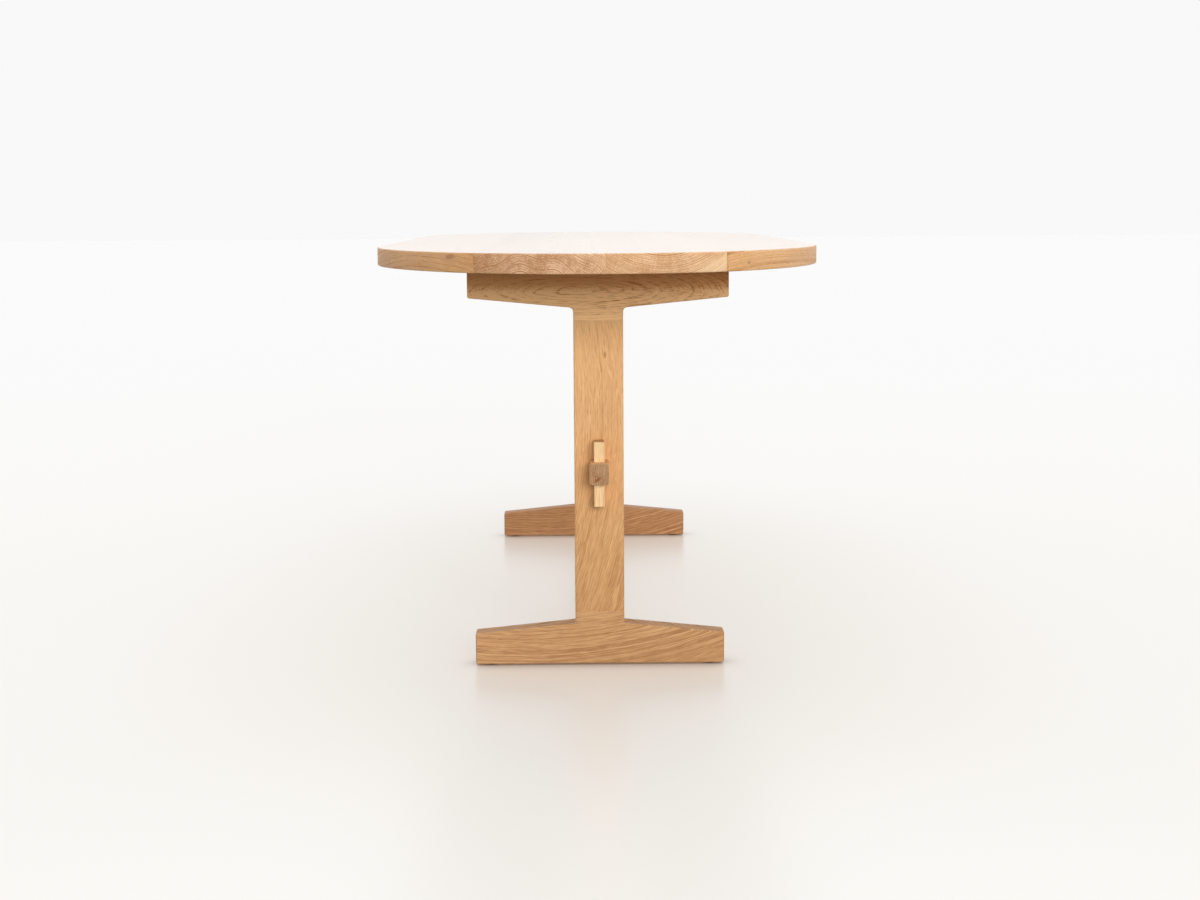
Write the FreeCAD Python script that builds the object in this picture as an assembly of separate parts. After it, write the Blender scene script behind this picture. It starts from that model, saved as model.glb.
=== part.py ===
import FreeCAD, Part
import os

# A trestle dining table in solid oak: a glued-up top with rounded ends, two T-shaped trestles,
# and one long stretcher whose tusk tenons pass through the posts and are locked by loose wedges.
# +X runs along the table, +Y across it, +Z up, and the origin is on the floor at its centre.
# All sizes are in millimetres.

# Table top
table_height = 750.0
top_length = 2100.0
top_width = 800.0
top_thickness = 32.0
rounded_end_length = 570.0          # how far each rounded end reaches along the table
tip_radius = 310.0                  # of the tighter arc round the tip of each end
board_joints_y = (-200.0, 8.0, 200.0)   # glue lines between the four boards
top_upper_edge_radius = 2.5
top_lower_edge_chamfer = 2.0

# Timber of the trestles: posts, feet and heads share one thickness and finish flush
trestle_spacing = 1270.0            # between the centres of the two trestles
trestle_thickness = 40.0
trestle_edge_chamfer = 2.0
post_width = 88.0
foot_length = 448.0
head_length = 460.0
arm_end_height = 56.0               # depth of a foot or head at its outer ends
arm_root_height = 74.0              # depth where its slope runs into the neck
neck_height = 22.0                  # short neck between the slope and the post's shoulder
head_neck_fillet = 8.0
foot_neck_fillet = 2.5              # the feet turn up into their necks almost sharply

# Blind tenons at both ends of each post
post_tenon_width = 58.0
post_tenon_thickness = 14.0
post_tenon_length = 60.0
post_mortise_bottom_gap = 2.0       # glue space past the tenon's end

# Stretcher and its through tenons
stretcher_height = 90.0
stretcher_thickness = 40.0
stretcher_centre_height = 355.5
stretcher_edge_ease = 2.5
through_tenon_height = 38.5
through_tenon_width = 35.0
through_tenon_projection = 50.0     # how far the tenon stands out of the post
through_tenon_corner = 5.0
through_tenon_end_chamfer = 1.2

# Tusk wedges
wedge_length = 117.0
wedge_width = 18.5
wedge_depth_at_top = 36.0
wedge_depth_at_bottom = 30.0
wedge_above_tenon = 36.0            # how far a driven wedge stands above the tenon
wedge_edge_chamfer = 1.0
wedge_mortise_undercut = 4.0        # the mortise starts inside the post, so the wedge draws it tight

# Bolts that hold the top down, in slots that let it swell and shrink across its width
bolt_inset_from_head_end = 60.0
bolt_diameter = 8.0
bolt_length = 45.0
bolt_head_diameter = 13.0
bolt_head_height = 8.0
hex_key_size = 6.0
hex_key_depth = 4.0
bolt_seat_thickness = 30.0          # wood between the washer's seat and the top of the head
slot_travel = 4.0                   # to each side of the bolt
washer_diameter = 18.0
washer_thickness = 1.6
insert_diameter = 12.0
insert_length = 18.0
insert_hole_extra_depth = 2.0

# Felt glides under the feet
glide_diameter = 24.0
glide_thickness = 3.0
glide_inset_from_foot_end = 26.0

# Clearances
joinery_clearance = 0.1             # on each side of a glued tenon
through_tenon_clearance = 0.15      # on each side of the knock-down tenon
wedge_clearance = 0.15              # on each face of a wedge
thread_clearance = 0.05             # between a bolt and its insert, and the insert and its hole
hole_clearance = 0.5                # around a bolt's shank and around a washer

# Levels and places that follow from the sizes above
top_underside = table_height - top_thickness
foot_shoulder_level = glide_thickness + arm_root_height + neck_height
head_shoulder_level = top_underside - arm_root_height - neck_height
post_outer_face = (trestle_spacing + trestle_thickness) / 2
post_inner_face = (trestle_spacing - trestle_thickness) / 2
through_tenon_end = post_outer_face + through_tenon_projection
through_tenon_top = stretcher_centre_height + through_tenon_height / 2
wedge_top = through_tenon_top + wedge_above_tenon
wedge_bottom = wedge_top - wedge_length
wedge_inner_face = post_outer_face + wedge_clearance
bolt_y = head_length / 2 - bolt_inset_from_head_end
bolt_seat_level = top_underside - bolt_seat_thickness
bolt_head_top = bolt_seat_level - washer_thickness
sides = {"right": 1, "left": -1}    # the sign of X that each trestle stands on


def vector(x, y, z):
    return FreeCAD.Vector(x, y, z)


def block(length, width, height, centre_x, centre_y, bottom):
    """A box standing on the level bottom, centred on the given X and Y."""
    corner = vector(centre_x - length / 2, centre_y - width / 2, bottom)
    return Part.makeBox(length, width, height, corner)


def rod(diameter, height, x, y, bottom):
    """An upright cylinder."""
    return Part.makeCylinder(diameter / 2, height, vector(x, y, bottom))


def tube(outer_diameter, inner_diameter, height, x, y, bottom):
    return rod(outer_diameter, height, x, y, bottom).cut(rod(inner_diameter, height, x, y, bottom))


def slot(width, travel, height, x, y, bottom):
    """An upright hole, travel longer to each side along Y than it is wide."""
    middle = block(width, 2 * travel, height, x, y, bottom)
    ends = [rod(width, height, x, y + end * travel, bottom) for end in (-1, 1)]
    return middle.multiFuse(ends).removeSplitter()


def lies_on_level(edge, level):
    box = edge.BoundBox
    return abs(box.ZMin - level) < 1e-6 and abs(box.ZMax - level) < 1e-6


def edges_on_level(shape, level):
    return [edge for edge in shape.Edges if lies_on_level(edge, level)]


def runs_along_x(edge):
    box = edge.BoundBox
    return box.YLength < 1e-6 and box.ZLength < 1e-6


def group(solids):
    """Identical pieces that share one node."""
    return Part.makeCompound(solids)


def mirrored_to_side(shape, side):
    """A piece drawn on the +X trestle, put on the trestle of the given side."""
    if sides[side] > 0:
        return shape
    return shape.mirror(vector(0, 0, 0), vector(1, 0, 0))


# ---- Table top -------------------------------------------------------------------------------


def end_arcs(outward):
    """Three arcs round one end: a shallow one off each side, and a tighter one round the tip."""
    half_width = top_width / 2
    straight_end = top_length / 2 - rounded_end_length
    side_radius = ((rounded_end_length ** 2 - 2 * rounded_end_length * tip_radius + half_width ** 2)
                   / (2 * (half_width - tip_radius)))
    side_centre = vector(straight_end, half_width - side_radius, top_underside)
    tip_centre = vector(top_length / 2 - tip_radius, 0, top_underside)
    towards_joint = (tip_centre - side_centre).normalize()
    joint = side_centre + towards_joint * side_radius
    side_start = vector(straight_end, half_width, top_underside)
    halfway = (towards_joint + vector(0, 1, 0)).normalize()
    side_middle = side_centre + halfway * side_radius
    tip = vector(top_length / 2, 0, top_underside)
    arcs = [[side_start, side_middle, joint], [joint, tip, across(joint)],
            [across(joint), across(side_middle), across(side_start)]]
    return [Part.Arc(*[vector(outward * p.x, p.y, p.z) for p in points]).toShape() for points in arcs]


def across(point):
    """The point that faces this one from the other long side."""
    return vector(point.x, -point.y, point.z)


def top_outline():
    """Two straight sides joined by rounded ends that run into them without a corner."""
    straight_end = top_length / 2 - rounded_end_length
    sides_of_top = [Part.LineSegment(vector(-straight_end, y, top_underside),
                                     vector(straight_end, y, top_underside)).toShape()
                    for y in (-top_width / 2, top_width / 2)]
    edges = Part.sortEdges(sides_of_top + end_arcs(1) + end_arcs(-1))[0]
    return Part.Face(Part.Wire(edges))


def whole_top():
    """The glued-up top with its eased rims and the blind holes for the threaded inserts."""
    top = top_outline().extrude(vector(0, 0, top_thickness))
    top = top.makeFillet(top_upper_edge_radius, edges_on_level(top, table_height))
    top = top.makeChamfer(top_lower_edge_chamfer, edges_on_level(top, top_underside))
    for x in (-trestle_spacing / 2, trestle_spacing / 2):
        for y in (-bolt_y, bolt_y):
            top = top.cut(rod(insert_diameter + 2 * thread_clearance,
                              insert_length + insert_hole_extra_depth, x, y, top_underside))
    return top


def top_boards():
    """The top ripped into its boards at the glue lines."""
    top = whole_top()
    limits = (-top_width, *board_joints_y, top_width)
    boards = []
    for low, high in zip(limits, limits[1:]):
        strip = block(2 * top_length, high - low, 2 * top_thickness, 0, (low + high) / 2,
                      top_underside - top_thickness / 2)
        boards.append(top.common(strip))
    return boards


# ---- Trestles --------------------------------------------------------------------------------


def arm_blank(length, neck_fillet):
    """The shape that a foot and a head share, drawn as a foot with its flat side on level 0."""
    half = length / 2
    half_neck = post_width / 2
    neck_top = arm_root_height + neck_height
    right_side = [(half, 0), (half, arm_end_height), (half_neck, arm_root_height), (half_neck, neck_top)]
    left_side = [(-y, z) for y, z in reversed(right_side)]
    corners = [vector(0, y, z) for y, z in right_side + left_side]
    profile = Part.Face(Part.makePolygon(corners + corners[:1]))
    blank = profile.extrude(vector(trestle_thickness, 0, 0))
    blank.translate(vector(-trestle_thickness / 2, 0, 0))
    inner_corners = [edge for edge in blank.Edges
                     if runs_along_x(edge) and abs(edge.BoundBox.ZMin - arm_root_height) < 1e-6]
    return blank.makeFillet(neck_fillet, inner_corners)


def eased_arm(length, neck_fillet, sharp_levels):
    """An arm blank with its edges chamfered, apart from those of faces that are fitted to others."""
    blank = arm_blank(length, neck_fillet)

    def is_fitted(edge):
        return any(lies_on_level(edge, level) for level in sharp_levels)

    end_corners = [edge for edge in blank.Edges if runs_along_x(edge) and not is_fitted(edge)
                   and abs(edge.BoundBox.Center.y) > length / 2 - 1e-6]
    blank = blank.makeChamfer(trestle_edge_chamfer, end_corners)
    rims = [edge for edge in blank.Edges if edge.BoundBox.XLength < 1e-6 and not is_fitted(edge)]
    return blank.makeChamfer(trestle_edge_chamfer, rims)


def post_mortise(shoulder_level, direction):
    """The blind mortise for a post's tenon, direction being the way the tenon points."""
    depth = post_tenon_length + post_mortise_bottom_gap
    bottom = min(shoulder_level, shoulder_level + direction * depth)
    return block(post_tenon_thickness + 2 * joinery_clearance, post_tenon_width + 2 * joinery_clearance,
                 depth, trestle_spacing / 2, 0, bottom)


def foot(side):
    neck_top = arm_root_height + neck_height
    shape = eased_arm(foot_length, foot_neck_fillet, [neck_top])
    shape.translate(vector(trestle_spacing / 2, 0, glide_thickness))
    shape = shape.cut(post_mortise(foot_shoulder_level, -1))
    return mirrored_to_side(shape, side)


def head(side):
    """The bearer under the top: the foot's shape turned over, with the slotted bolt holes."""
    neck_top = arm_root_height + neck_height
    shape = eased_arm(head_length, head_neck_fillet, [neck_top, 0])
    shape.rotate(vector(0, 0, 0), vector(1, 0, 0), 180)
    shape.translate(vector(trestle_spacing / 2, 0, top_underside))
    shape = shape.cut(post_mortise(head_shoulder_level, 1))
    for y in (-bolt_y, bolt_y):
        x = trestle_spacing / 2
        shape = shape.cut(slot(bolt_diameter + 2 * hole_clearance, slot_travel,
                               bolt_seat_thickness, x, y, bolt_seat_level))
        shape = shape.cut(slot(washer_diameter + 2 * hole_clearance, slot_travel,
                               arm_root_height - bolt_seat_thickness, x, y,
                               top_underside - arm_root_height))
    return mirrored_to_side(shape, side)


def through_mortise_section(clearance):
    """The stretcher's tenon, grown by a clearance, as a bar through the post and beyond."""
    reach = through_tenon_end - post_inner_face
    bar = block(reach, through_tenon_width + 2 * clearance, through_tenon_height + 2 * clearance,
                post_inner_face + reach / 2, 0,
                stretcher_centre_height - through_tenon_height / 2 - clearance)
    return bar.makeFillet(through_tenon_corner, [edge for edge in bar.Edges if runs_along_x(edge)])


def post(side):
    """A post with a blind tenon at each end and the mortise that the stretcher passes through."""
    shape = block(trestle_thickness, post_width, head_shoulder_level - foot_shoulder_level,
                  trestle_spacing / 2, 0, foot_shoulder_level)
    corners = [edge for edge in shape.Edges if edge.BoundBox.ZLength > 1]
    shape = shape.makeChamfer(trestle_edge_chamfer, corners)
    tenons = block(post_tenon_thickness, post_tenon_width,
                   head_shoulder_level - foot_shoulder_level + 2 * post_tenon_length,
                   trestle_spacing / 2, 0, foot_shoulder_level - post_tenon_length)
    shape = shape.fuse(tenons).cut(through_mortise_section(through_tenon_clearance))
    return mirrored_to_side(shape, side)


# ---- Stretcher and wedges --------------------------------------------------------------------


def wedge_outer_face(level):
    """How far out from the table's centre a wedge's sloping face lies at a height."""
    share = (level - wedge_bottom) / wedge_length
    depth = wedge_depth_at_bottom + share * (wedge_depth_at_top - wedge_depth_at_bottom)
    return wedge_inner_face + depth


def upright_prism(corners, width):
    """A shape drawn as X and Z corners, centred across the table."""
    points = [vector(x, -width / 2, z) for x, z in corners]
    return Part.Face(Part.makePolygon(points + points[:1])).extrude(vector(0, width, 0))


def wedge(side):
    """Upright against the post and tapered on its outer face, thicker at the top."""
    shape = upright_prism([(wedge_inner_face, wedge_bottom), (wedge_outer_face(wedge_bottom), wedge_bottom),
                           (wedge_outer_face(wedge_top), wedge_top), (wedge_inner_face, wedge_top)],
                          wedge_width)
    return mirrored_to_side(shape.makeChamfer(wedge_edge_chamfer, shape.Edges), side)


def wedge_mortise():
    """The tapered hole through a tenon: it follows the wedge's outer face and runs back into the post."""
    low = stretcher_centre_height - through_tenon_height
    high = stretcher_centre_height + through_tenon_height
    inner = post_outer_face - wedge_mortise_undercut
    return upright_prism([(inner, low), (wedge_outer_face(low) + wedge_clearance, low),
                          (wedge_outer_face(high) + wedge_clearance, high), (inner, high)],
                         wedge_width + 2 * wedge_clearance)


def end_tenon():
    """One through tenon with its chamfered end and wedge mortise, on the +X end."""
    tenon = through_mortise_section(0)
    rim = [edge for edge in tenon.Edges if edge.BoundBox.XMin > through_tenon_end - 1e-6]
    return tenon.makeChamfer(through_tenon_end_chamfer, rim).cut(wedge_mortise())


def stretcher():
    """The long rail between the posts: its shoulders meet their inner faces."""
    rail = block(2 * post_inner_face, stretcher_thickness, stretcher_height, 0, 0,
                 stretcher_centre_height - stretcher_height / 2)
    rail = rail.makeFillet(stretcher_edge_ease, [edge for edge in rail.Edges if runs_along_x(edge)])
    return rail.multiFuse([mirrored_to_side(end_tenon(), side) for side in sides])


# ---- Fasteners and glides --------------------------------------------------------------------


def on_both_bolts(make_one, side):
    """The same piece at both bolt places of one head."""
    x = sides[side] * trestle_spacing / 2
    return group([make_one(x, y) for y in (-bolt_y, bolt_y)])


def bolt(x, y):
    """A socket-head bolt with its head down in the counterbore."""
    shank = rod(bolt_diameter, bolt_length, x, y, bolt_head_top)
    cap = rod(bolt_head_diameter, bolt_head_height, x, y, bolt_head_top - bolt_head_height)
    across_corners = hex_key_size / 3 ** 0.5
    corners = [vector(0, across_corners, 0)]
    for turn in range(1, 6):
        corners.append(FreeCAD.Rotation(vector(0, 0, 1), 60 * turn).multVec(corners[0]))
    socket = Part.Face(Part.makePolygon(corners + corners[:1])).extrude(vector(0, 0, hex_key_depth))
    socket.translate(vector(x, y, bolt_head_top - bolt_head_height))
    return shank.fuse(cap).cut(socket)


def washer(x, y):
    hole = bolt_diameter + 2 * hole_clearance
    return tube(washer_diameter, hole, washer_thickness, x, y, bolt_head_top)


def threaded_insert(x, y):
    bore = bolt_diameter + 2 * thread_clearance
    return tube(insert_diameter, bore, insert_length, x, y, top_underside)


def glides(side):
    """Round felt pads under the two ends of a foot."""
    y = foot_length / 2 - glide_inset_from_foot_end
    x = sides[side] * trestle_spacing / 2
    return group([rod(glide_diameter, glide_thickness, x, end * y, 0) for end in (-1, 1)])


# ---- Every node ------------------------------------------------------------------------------

nodes = {"stretcher": stretcher()}
for number, board in enumerate(top_boards(), start=1):
    nodes[f"top_board_{number}"] = board
for name in sides:
    nodes[f"{name}_foot"] = foot(name)
    nodes[f"{name}_post"] = post(name)
    nodes[f"{name}_head"] = head(name)
    nodes[f"{name}_wedge"] = wedge(name)
    nodes[f"{name}_head_bolts"] = on_both_bolts(bolt, name)
    nodes[f"{name}_head_washers"] = on_both_bolts(washer, name)
    nodes[f"{name}_top_inserts"] = on_both_bolts(threaded_insert, name)
    nodes[f"{name}_foot_glides"] = glides(name)

os.makedirs("parts", exist_ok=True)
for name, shape in nodes.items():
    shape.exportStep(f"parts/{name}.step")
    print(f"{name}: {len(shape.Solids)} solid(s), {shape.Volume / 1000:.1f} cm3, valid {shape.isValid()}")
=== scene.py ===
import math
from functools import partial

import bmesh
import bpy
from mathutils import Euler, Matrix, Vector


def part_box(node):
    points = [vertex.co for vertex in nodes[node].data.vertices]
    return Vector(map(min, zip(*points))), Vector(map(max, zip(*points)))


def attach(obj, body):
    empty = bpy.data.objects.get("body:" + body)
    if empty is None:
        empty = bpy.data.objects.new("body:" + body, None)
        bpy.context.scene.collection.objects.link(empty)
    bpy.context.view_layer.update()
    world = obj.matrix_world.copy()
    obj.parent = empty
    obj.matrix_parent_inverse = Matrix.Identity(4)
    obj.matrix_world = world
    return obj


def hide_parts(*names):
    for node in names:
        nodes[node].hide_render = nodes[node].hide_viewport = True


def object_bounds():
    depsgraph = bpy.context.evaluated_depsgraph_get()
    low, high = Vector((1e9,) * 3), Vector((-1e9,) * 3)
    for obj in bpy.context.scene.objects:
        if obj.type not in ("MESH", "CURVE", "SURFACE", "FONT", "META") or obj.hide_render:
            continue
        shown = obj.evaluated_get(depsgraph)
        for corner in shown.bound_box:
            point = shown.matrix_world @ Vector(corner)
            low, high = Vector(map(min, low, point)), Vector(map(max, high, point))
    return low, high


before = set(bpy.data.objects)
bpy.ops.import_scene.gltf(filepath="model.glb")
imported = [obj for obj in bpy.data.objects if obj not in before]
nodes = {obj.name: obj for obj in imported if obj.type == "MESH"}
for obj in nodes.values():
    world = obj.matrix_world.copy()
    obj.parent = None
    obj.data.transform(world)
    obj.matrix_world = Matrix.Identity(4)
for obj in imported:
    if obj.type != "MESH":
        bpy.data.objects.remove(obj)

# %% [markdown]
# # A trestle dining table in oiled oak
# The frame above is the table's construction: four glued boards, two T-shaped trestles, a stretcher
# whose tusk tenons pass through the posts, and the two loose wedges that lock them. Its shapes are
# final. What is left is to make it look like wood, metal and felt under a soft light.
# Everything here is in metres, with +X along the table, +Y across it and the floor at Z = 0.

cad_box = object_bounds()
sides = {"right": 1, "left": -1}     # the sign of X that each trestle stands on
print("the construction fills", [tuple(round(value, 4) for value in corner) for corner in cad_box])

# %% [markdown]
# ## Small helpers for node trees
# Shader trees and geometry trees are both lists of nodes joined by links. These helpers keep the
# cells below short: they fill a node's sockets, add a node, do a sum, take a vector apart or put it
# together, and start a node group with named sockets.

# %% Add a node and fill its inputs
def fill(tree, node, inputs):
    """Inputs are given by name or number, each as a plain value or as another node's output."""
    for key, value in inputs.items():
        if isinstance(value, bpy.types.NodeSocket):
            tree.links.new(value, node.inputs[key])
        else:
            node.inputs[key].default_value = value


def add_node(tree, kind, inputs=None, **settings):
    """A new node. Its settings come first, because they decide which inputs it has."""
    made = tree.nodes.new(kind)
    for name, value in settings.items():
        setattr(made, name, value)
    fill(tree, made, inputs or {})
    return made


def calculate(tree, operation, *values, clamp=False):
    """One Math node, with its result as a socket."""
    return add_node(tree, "ShaderNodeMath", dict(enumerate(values)),
                    operation=operation, use_clamp=clamp).outputs[0]


def arithmetic(tree):
    """The sums that a tree needs most often, each under its own short name."""
    return [partial(calculate, tree, operation) for operation in
            ("ADD", "SUBTRACT", "MULTIPLY", "DIVIDE", "MULTIPLY_ADD")]


def vector_sum(tree, operation, *values):
    """One Vector Math node, with its result as a socket."""
    made = add_node(tree, "ShaderNodeVectorMath", dict(enumerate(values)), operation=operation)
    return made.outputs["Value" if operation in ("LENGTH", "DOT_PRODUCT") else "Vector"]


def split(tree, vector):
    """A vector's X, Y and Z."""
    return add_node(tree, "ShaderNodeSeparateXYZ", {0: vector}).outputs


def join(tree, **parts):
    """A vector from its X, Y and Z. A part that isn't given is 0."""
    return add_node(tree, "ShaderNodeCombineXYZ", parts).outputs[0]


# %% Start a node group
def new_group(name, kind, inputs, outputs):
    """An empty group, the sockets that bring its inputs, and the node that takes its results.

    Inputs and outputs are rows of a name, a socket type and, where there is one, a default."""
    group = bpy.data.node_groups.new(name, kind)
    for in_out, rows in (("INPUT", inputs), ("OUTPUT", outputs)):
        for label, socket_type, *default in rows:
            socket = group.interface.new_socket(label, in_out=in_out, socket_type=socket_type)
            if default:
                socket.default_value = default[0]
    start = group.nodes.new("NodeGroupInput")
    return group, start.outputs, group.nodes.new("NodeGroupOutput")


def by_label(values):
    """Turns ring_width=0.003 into {"Ring Width": 0.003}, as a group's sockets are labelled."""
    return {name.replace("_", " ").title(): value for name, value in values.items()}


FLOAT, VECTOR, COLOR = "NodeSocketFloat", "NodeSocketVector", "NodeSocketColor"
WHOLE, MATERIAL, OBJECT, GEOMETRY = ("NodeSocketInt", "NodeSocketMaterial", "NodeSocketObject",
                                     "NodeSocketGeometry")
print("helpers ready")


# %% Helpers for colours and patterns
def object_place(tree):
    """Where a point lies in its piece's own metres, so that a pattern moves with the piece."""
    return add_node(tree, "ShaderNodeTexCoord").outputs["Object"]


def noise(tree, vector, detail=2, roughness=0.5):
    """A noise texture read at a vector that is already scaled."""
    return add_node(tree, "ShaderNodeTexNoise", {"Vector": vector, "Scale": 1, "Detail": detail,
                                                 "Roughness": roughness})


def stretched_noise(tree, vector, per_metre, detail=2, roughness=0.5):
    """Noise with that many waves to the metre along each axis, as a number round 0."""
    scaled = vector_sum(tree, "MULTIPLY", vector, per_metre)
    return calculate(tree, "SUBTRACT", noise(tree, scaled, detail, roughness).outputs["Fac"], 0.5)


def mix_colours(tree, factor, first, second, blend="MIX"):
    """A Mix node holds sockets for every kind of data; 6, 7 and output 2 are the colours."""
    return add_node(tree, "ShaderNodeMix", {0: factor, 6: first, 7: second},
                    data_type="RGBA", blend_type=blend).outputs[2]


def ramp(tree, value, stops):
    """A colour ramp from (position, grey value) stops, read as a number."""
    made = add_node(tree, "ShaderNodeValToRGB", {"Fac": value})
    elements = made.color_ramp.elements
    while len(elements) < len(stops):
        elements.new(0.5)
    for element, (position, grey) in zip(elements, stops):
        element.position = position
        element.color = (grey, grey, grey, 1)
    return made.outputs["Color"]


def remap(tree, value, low, high, to_low=0, to_high=1, kind="SMOOTHSTEP"):
    """Carries low..high over to to_low..to_high, smoothly unless told otherwise."""
    return add_node(tree, "ShaderNodeMapRange",
                    {"Value": value, "From Min": low, "From Max": high, "To Min": to_low,
                     "To Max": to_high}, interpolation_type=kind).outputs["Result"]


# %% [markdown]
# ## How a tree grows inside a board
# A board is a slice of a trunk, and the trunk is a stack of cone-like rings round its pith. So the
# grain is worked out in three dimensions: each point of the wood asks how far it is from the pith,
# and that distance, divided by the width of a ring, says where in a year's growth it lies. End
# grain, face grain and edge grain then agree wherever a board is cut, which a flat picture of
# wood on each face never does.

# %% The growth rings as a node group: what it is given
growth_inputs = [("Vector", VECTOR), ("Ring Width", FLOAT, 0.0033), ("Waviness", FLOAT, 0.004),
                 ("Bow", VECTOR), ("Ripple Height", FLOAT), ("Ripple Length", FLOAT, 0.064),
                 ("Ripple Place", FLOAT), ("Seed", FLOAT)]
rings, given, put = new_group(
    "growth rings", "ShaderNodeTree", growth_inputs,
    [("Early Wood", FLOAT), ("Late Line", FLOAT), ("Year", FLOAT), ("Grown", VECTOR)])
ring_vector = partial(vector_sum, rings)
plus, minus, times, over, times_plus = arithmetic(rings)
wide_waves, small_waves = (1.6, 8, 8), (14, 50, 50)     # bends to the metre on each axis
small_share = (0, 0.3, 0.3)            # how far the small bends go, against the wide ones
off_the_pith = (0, 1, 1)             # the pith runs along the first axis
drift, drift_rate = 2.2, 0.35              # by how many rings the growth wanders, and how fast
print("growth rings:", len(growth_inputs), "inputs")

# %% Bend the wood, and measure how far each point is from the pith
seeded = ring_vector("ADD", given["Vector"], given["Seed"])
centred = (0.5, 0.5, 0.5)
wide_bends = noise(rings, ring_vector("MULTIPLY", seeded, wide_waves), 1).outputs["Color"]
small_bends = noise(rings, ring_vector("MULTIPLY", seeded, small_waves), 1).outputs["Color"]
wide_shift = ring_vector("SUBTRACT", wide_bends, centred)
small_shift = ring_vector("MULTIPLY", ring_vector("SUBTRACT", small_bends, centred), small_share)
shift = ring_vector("MULTIPLY", ring_vector("ADD", wide_shift, small_shift), given["Waviness"])
parts = split(rings, given["Vector"])
bowed = ring_vector("MULTIPLY", given["Bow"], times(parts["X"], parts["X"]))
turns = over(minus(parts["Y"], given["Ripple Place"]), given["Ripple Length"])
wave = calculate(rings, "COSINE", times(turns, math.tau))
rippled = join(rings, Z=times(wave, times(given["Ripple Height"], -1)))
grown = ring_vector("ADD", ring_vector("ADD", given["Vector"], shift), ring_vector("ADD", bowed, rippled))
across = ring_vector("MULTIPLY", grown, off_the_pith)
years = over(ring_vector("LENGTH", across), given["Ring Width"])

# %% Count the years, and say which part of its year each point grew in
uneven = add_node(rings, "ShaderNodeTexNoise",
                  {"W": plus(years, given["Seed"]), "Scale": drift_rate, "Detail": 1},
                  noise_dimensions="1D").outputs["Fac"]
years = plus(years, times(uneven, drift))
part_of_year = calculate(rings, "FRACT", years)
early = ramp(rings, part_of_year, [(0, 0.15), (0.06, 1), (0.16, 0.8), (0.32, 0.08), (1, 0.15)])
year_tone = add_node(rings, "ShaderNodeTexWhiteNoise", {"W": calculate(rings, "FLOOR", years)},
                     noise_dimensions="1D").outputs["Value"]
late = ramp(rings, part_of_year, [(0, 0), (0.72, 0), (0.86, 1), (0.96, 0)])
late = times(late, remap(rings, year_tone, 0.3, 0.8))     # not every year has one
fill(rings, put, {"Early Wood": early, "Late Line": late, "Year": year_tone, "Grown": grown})
print("growth rings:", len(rings.nodes), "nodes")

# %% [markdown]
# ## What makes it oak
# Oak is ring-porous: each spring it lays down a band of wide vessels, which a plane cuts open as
# dark dashes along the grain and dots on the end. Its rays run out from the pith like spokes, and
# flash as pale flecks. Oil sinks deepest into end grain, so it turns darker and greyer. This group
# lays those over the rings, and puts out a colour, a roughness and a height for fine relief.

# %% Oak over the rings as a node group: what it is given
oak_group, given, put = new_group(
    "oak", "ShaderNodeTree",
    [*growth_inputs, ("Grain Direction", VECTOR, (1, 0, 0)),
     ("Pale", COLOR, (0.8, 0.47, 0.22, 1)), ("Dark", COLOR, (0.5, 0.25, 0.1, 1)),
     ("End Grain", COLOR, (0.8, 0.77, 0.74, 1)), ("Tone", FLOAT, 0.33),
     ("Ring Strength", FLOAT, 0.45), ("Streaks", FLOAT, 1), ("Rays", FLOAT, 0.25),
     ("Pores", FLOAT, 0.4), ("Pale Lines", FLOAT, 0.15), ("End Strength", FLOAT, 0.5),
     ("Fade", VECTOR)],
    [("Color", COLOR), ("Roughness", FLOAT), ("Height", FLOAT)])
oak_vector = partial(vector_sum, oak_group)
plus, minus, times, over, times_plus = arithmetic(oak_group)
growth = add_node(oak_group, "ShaderNodeGroup", {label: given[label] for label, *_ in growth_inputs},
                  node_tree=rings).outputs
seeded = oak_vector("ADD", growth["Grown"], given["Seed"])
facing = add_node(oak_group, "ShaderNodeNewGeometry").outputs["Normal"]
end_on = calculate(oak_group, "ABSOLUTE", oak_vector("DOT_PRODUCT", facing, given["Grain Direction"]))
end_on = remap(oak_group, end_on, 0.55, 0.95)           # 0 on a face or an edge, 1 on end grain
bolder = times_plus(end_on, given["End Strength"], 1)
print("oak:", len(given) - 1, "inputs")

# %% Oak: vessels, streaks, clouds and the flecks of its rays
oak_noise = partial(stretched_noise, oak_group, seeded)
late_vessels = 0.22                        # how many of them lie outside the early wood
vessels = remap(oak_group, oak_noise(per_metre=(55, 800, 800), detail=1), 0.02, 0.2)
vessels = times(vessels, plus(growth["Early Wood"], late_vessels, clamp=True))
long_streaks = oak_noise(per_metre=(6, 150, 150), roughness=0.6)
short_streaks = oak_noise(per_metre=(34, 520, 520), roughness=0.6)
clouds = oak_noise(per_metre=(2.5, 22, 32))
patchy = oak_noise(per_metre=(9, 75, 75), detail=1)
patchy = remap(oak_group, patchy, -0.14, 0.18, to_low=0.35, to_high=1.5)

rays_per_radian, fleck_waves = (0, 130, 130), (24, 9, 9)
spokes = oak_vector("NORMALIZE", oak_vector("MULTIPLY", growth["Grown"], off_the_pith))
spokes = oak_vector("MULTIPLY", spokes, rays_per_radian)
lengthwise = oak_vector("MULTIPLY", seeded, fleck_waves)
flecks = noise(oak_group, oak_vector("ADD", spokes, lengthwise), 1).outputs["Fac"]
flecks = times(remap(oak_group, flecks, 0.6, 0.72), given["Rays"])

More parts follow.
